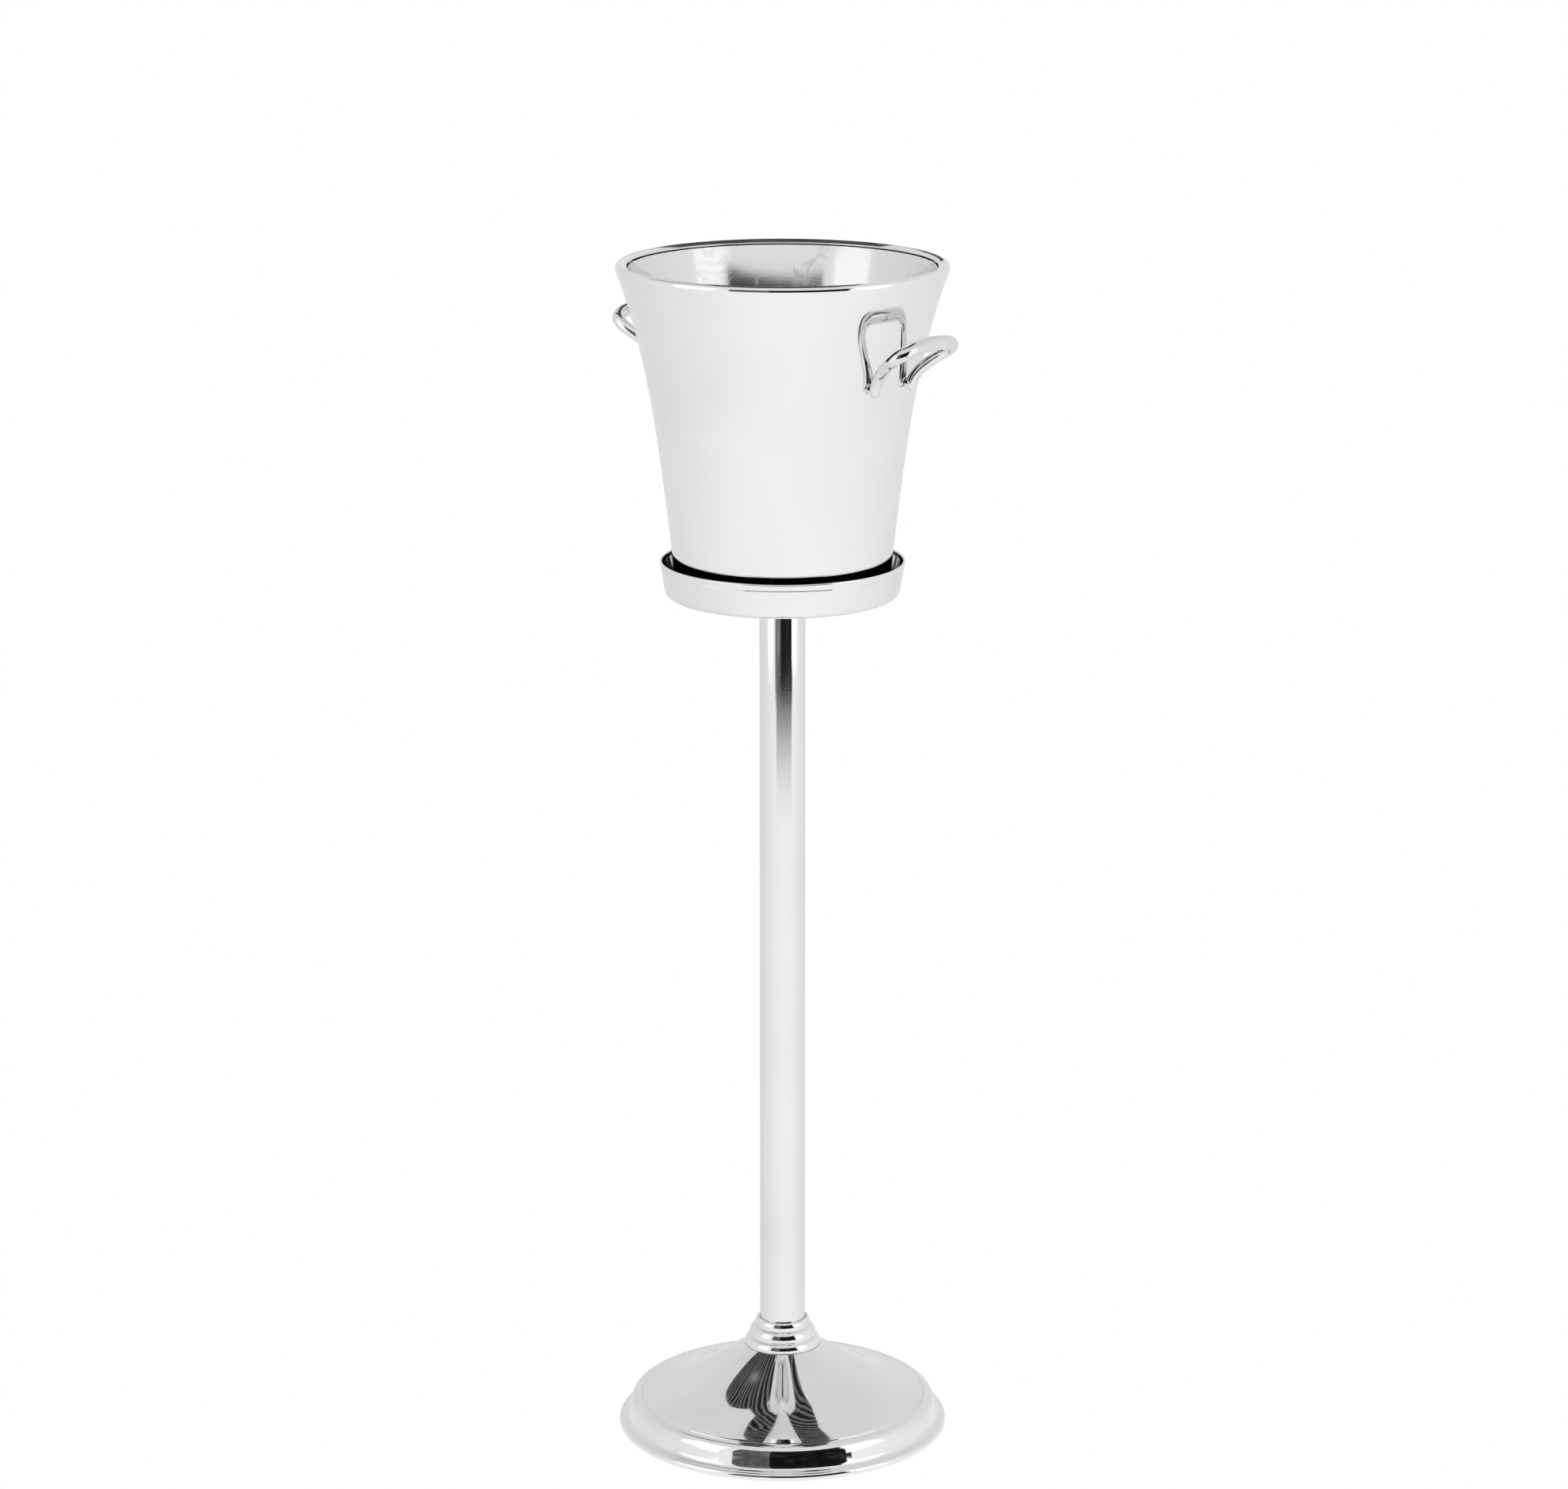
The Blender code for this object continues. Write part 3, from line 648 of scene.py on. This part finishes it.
# The boards over the set: to the right of the camera's line of sight, then towards the camera.
BOARDS_HEIGHT = 2.4
BOARDS = (
    (-0.30, 0.10),
    (0.52, 0.10),
    (0.60, -0.50),
    (0.42, -1.30),
    (0.20, -3.60),
    (0.05, -8.00),
    (-0.55, -8.00),
    (-0.36, -3.60),
    (-0.20, -2.80),
    (-0.46, -1.00),
    (-0.46, -0.68),
    (-0.64, -0.60),
    (-1.00, -0.95),
    (-1.50, -1.24),
    (-1.75, -1.30),
    (-1.50, -0.90),
)


def make_camera():
    camera = bpy.data.cameras.new("camera")
    camera.sensor_width = SENSOR_WIDE
    camera.lens = LENS
    camera.shift_x = CAMERA_SHIFT
    camera.clip_end = 200
    holder = bpy.data.objects.new("camera", camera)
    holder.location = TOWARDS * CAMERA_OUT + Vector((0, 0, CAMERA_HEIGHT))
    holder.rotation_euler = (pi / 2 - CAMERA_PITCH, 0, CAMERA_AROUND + pi / 2)
    bpy.context.scene.collection.objects.link(holder)
    bpy.context.scene.camera = holder


def glow(name, strength):
    return Finish(name).lit(grey(1.0), strength)


def dark_room(name, shade, pale):
    """What the polished metal sees past the front of the white sweep: a dim room with pale streaks."""
    finish = Finish(name)
    streaks = finish.noise(scale=1.0, detail=6.0, roughness=0.65, stretch=(1.2, 1.2, 5.0), distortion=1.5)
    high = finish.axis(2).clear_of(1.3, 2.4)
    return finish.lit(shade + streaks.clear_of(0.45, 0.72) * (pale + 0.35 * high))


def dark_boards():
    """The dark grained boards over the set, which the dome of the foot shows."""
    finish = Finish("dark_boards")
    settings = {"wave_type": "BANDS", "bands_direction": "X"}
    sockets = {"Vector": finish.place(), "Scale": 2.6}
    sockets |= {"Distortion": 9.0, "Detail": 3.0, "Detail Scale": 0.7}
    grain = finish.node("ShaderNodeTexWave", settings, sockets, out=1)
    return finish.lit(0.012 + 0.17 * grain.clear_of(0.35, 1.0))


def shaded_edge():
    """The front edge of the white sweep, with painted shade that darkens it in patches towards the dark
    room.
    """
    finish = Finish("shaded_edge")
    away = finish.node("ShaderNodeVectorMath", {"operation": "LENGTH"}, {0: finish.place()}, out=1)
    shade_patches = finish.noise(scale=22.0, detail=4.0, roughness=0.75)
    # painted shade: past 1.8 m from the object the glow darkens, most in the noise patches
    return finish.lit(1.0 - away.clear_of(1.8, 2.5) * (0.05 + 1.6 * shade_patches.clear_of(0.3, 0.75)))


def soft_sweep():
    """White paper all round, brightest towards the camera, dimmer behind, at the left and overhead."""
    finish = Finish("soft_sweep")
    direction = finish.node("ShaderNodeVectorMath", {"operation": "NORMALIZE"}, {0: finish.place()})

    def facing(way):
        sockets = {0: direction, 1: tuple(way)}
        return finish.node("ShaderNodeVectorMath", {"operation": "DOT_PRODUCT"}, sockets, out=1)

    height = finish.node("ShaderNodeSeparateXYZ", None, {0: direction}, out=2)
    shade = 0.89 + 0.11 * facing(TOWARDS) + 0.03 * facing(RIGHT) - 0.13 * height.clear_of(0.30, 0.98)
    return finish.lit(shade)


def add_stage(name, corners, faces, material, camera_sees=False):
    mesh = bpy.data.meshes.new(name)
    mesh.from_pydata(corners, [], faces)
    mesh.materials.append(material)
    panel = bpy.data.objects.new(name, mesh)
    bpy.context.scene.collection.objects.link(panel)
    panel.visible_camera = camera_sees
    return panel


def add_floor(name, reach, height, material, camera_sees=False):
    """A square sheet that lies level round the origin."""
    corners = [(x * reach, y * reach, height) for x, y in ((-1, -1), (1, -1), (1, 1), (-1, 1))]
    add_stage(name, corners, [(0, 1, 2, 3)], material, camera_sees)


def make_bowl(name, start, end, out, rise, material):
    """A bowl-shaped card between two directions round the object. Only reflections show it."""
    columns, rows = 20, 14
    corners = []
    for row in range(rows + 1):
        lift = rise * row / rows
        for column in range(columns + 1):
            around = CAMERA_AROUND + start + (end - start) * column / columns
            reach = out * cos(lift)
            corners.append((reach * cos(around), reach * sin(around), BOWL_HEIGHT + out * sin(lift)))
    width = columns + 1
    faces = [
        (r * width + c, r * width + c + 1, (r + 1) * width + c + 1, (r + 1) * width + c)
        for r in range(rows)
        for c in range(columns)
    ]
    add_stage(name, corners, faces, material)


def make_dark_front():
    """The open front of the white sweep: a grey return on the left, the dark room and the edge in painted
    shade.
    """
    dim = dark_room("grey_return", shade=0.09, pale=0.25)
    make_bowl("grey_return", OPEN_FROM, DARK_FROM, RETURN_OUT, OPEN_RISE, dim)
    dark = dark_room("dark_front", shade=0.006, pale=0.03)
    make_bowl("dark_front", DARK_FROM, DARK_TO, DARK_OUT, OPEN_RISE, dark)
    corners = []
    for reach in EDGE_OUT:
        for angle in steps_between(*EDGE_ANGLES, EDGE_STEPS):
            around = CAMERA_AROUND + radians(angle)
            corners.append((reach * cos(around), reach * sin(around), EDGE_HEIGHT))
    row = EDGE_STEPS + 1
    faces = [(c, c + 1, c + row + 1, c + row) for c in range(EDGE_STEPS)]
    # the sweep's front edge, with painted shade towards the room
    add_stage("shaded_edge", corners, faces, shaded_edge())


def make_boards():
    """Dark boards high over the set. Only reflections show them."""
    lift = Vector((0, 0, BOARDS_HEIGHT))
    corners = [RIGHT * across + TOWARDS * near + lift for across, near in BOARDS]
    add_stage("dark_boards", corners, [tuple(range(len(BOARDS)))], dark_boards())


def make_softbox(name, turn):
    """A vertical glowing panel that faces the object."""
    around = CAMERA_AROUND + turn
    centre = Vector((SOFTBOX_OUT * cos(around), SOFTBOX_OUT * sin(around), SOFTBOX_HEIGHT))
    side = Vector((-sin(around), cos(around), 0)) * SOFTBOX_WIDE / 2
    up = Vector((0, 0, SOFTBOX_TALL / 2))
    corners = [centre - side - up, centre + side - up, centre + side + up, centre - side + up]
    add_stage(name, corners, [(0, 1, 2, 3)], glow(f"{name}_glow", SOFTBOX_STRENGTH))


def make_surround():
    """White behind the object, and the soft sweep that only reflections show."""
    surround = Finish("white_surround", surround=True)
    shader = surround.node("ShaderNodeBackground", None, {"Color": grey(1.0), "Strength": 1.0})
    bpy.context.scene.world = surround.show(shader)
    sweep = soft_sweep()
    make_bowl("soft_dome", radians(-180), radians(180), DOME_REACH, radians(90), sweep)
    add_floor("soft_floor", DOME_REACH, SOFT_FLOOR_HEIGHT, sweep)
    add_floor("white_floor", FLOOR_REACH, FLOOR_HEIGHT, glow("white_sweep", 1.0), camera_sees=True)


def make_studio():
    make_camera()
    make_surround()
    make_dark_front()
    make_boards()
    make_softbox("left_softbox", -SOFTBOX_TURN)
    make_softbox("right_softbox", SOFTBOX_TURN)
    bpy.context.scene.view_settings.view_transform = "Standard"
    bpy.context.scene.view_settings.look = "None"


make_foot()
make_collar()
make_stem()
make_tray()
make_bucket_shell()
make_liner()
make_handle("right_handle", "handle_right", Matrix.Identity(4))
make_handle("left_handle", "handle_left", Matrix.Rotation(pi, 4, "Z"))
repaint_hidden_pieces()
make_studio()
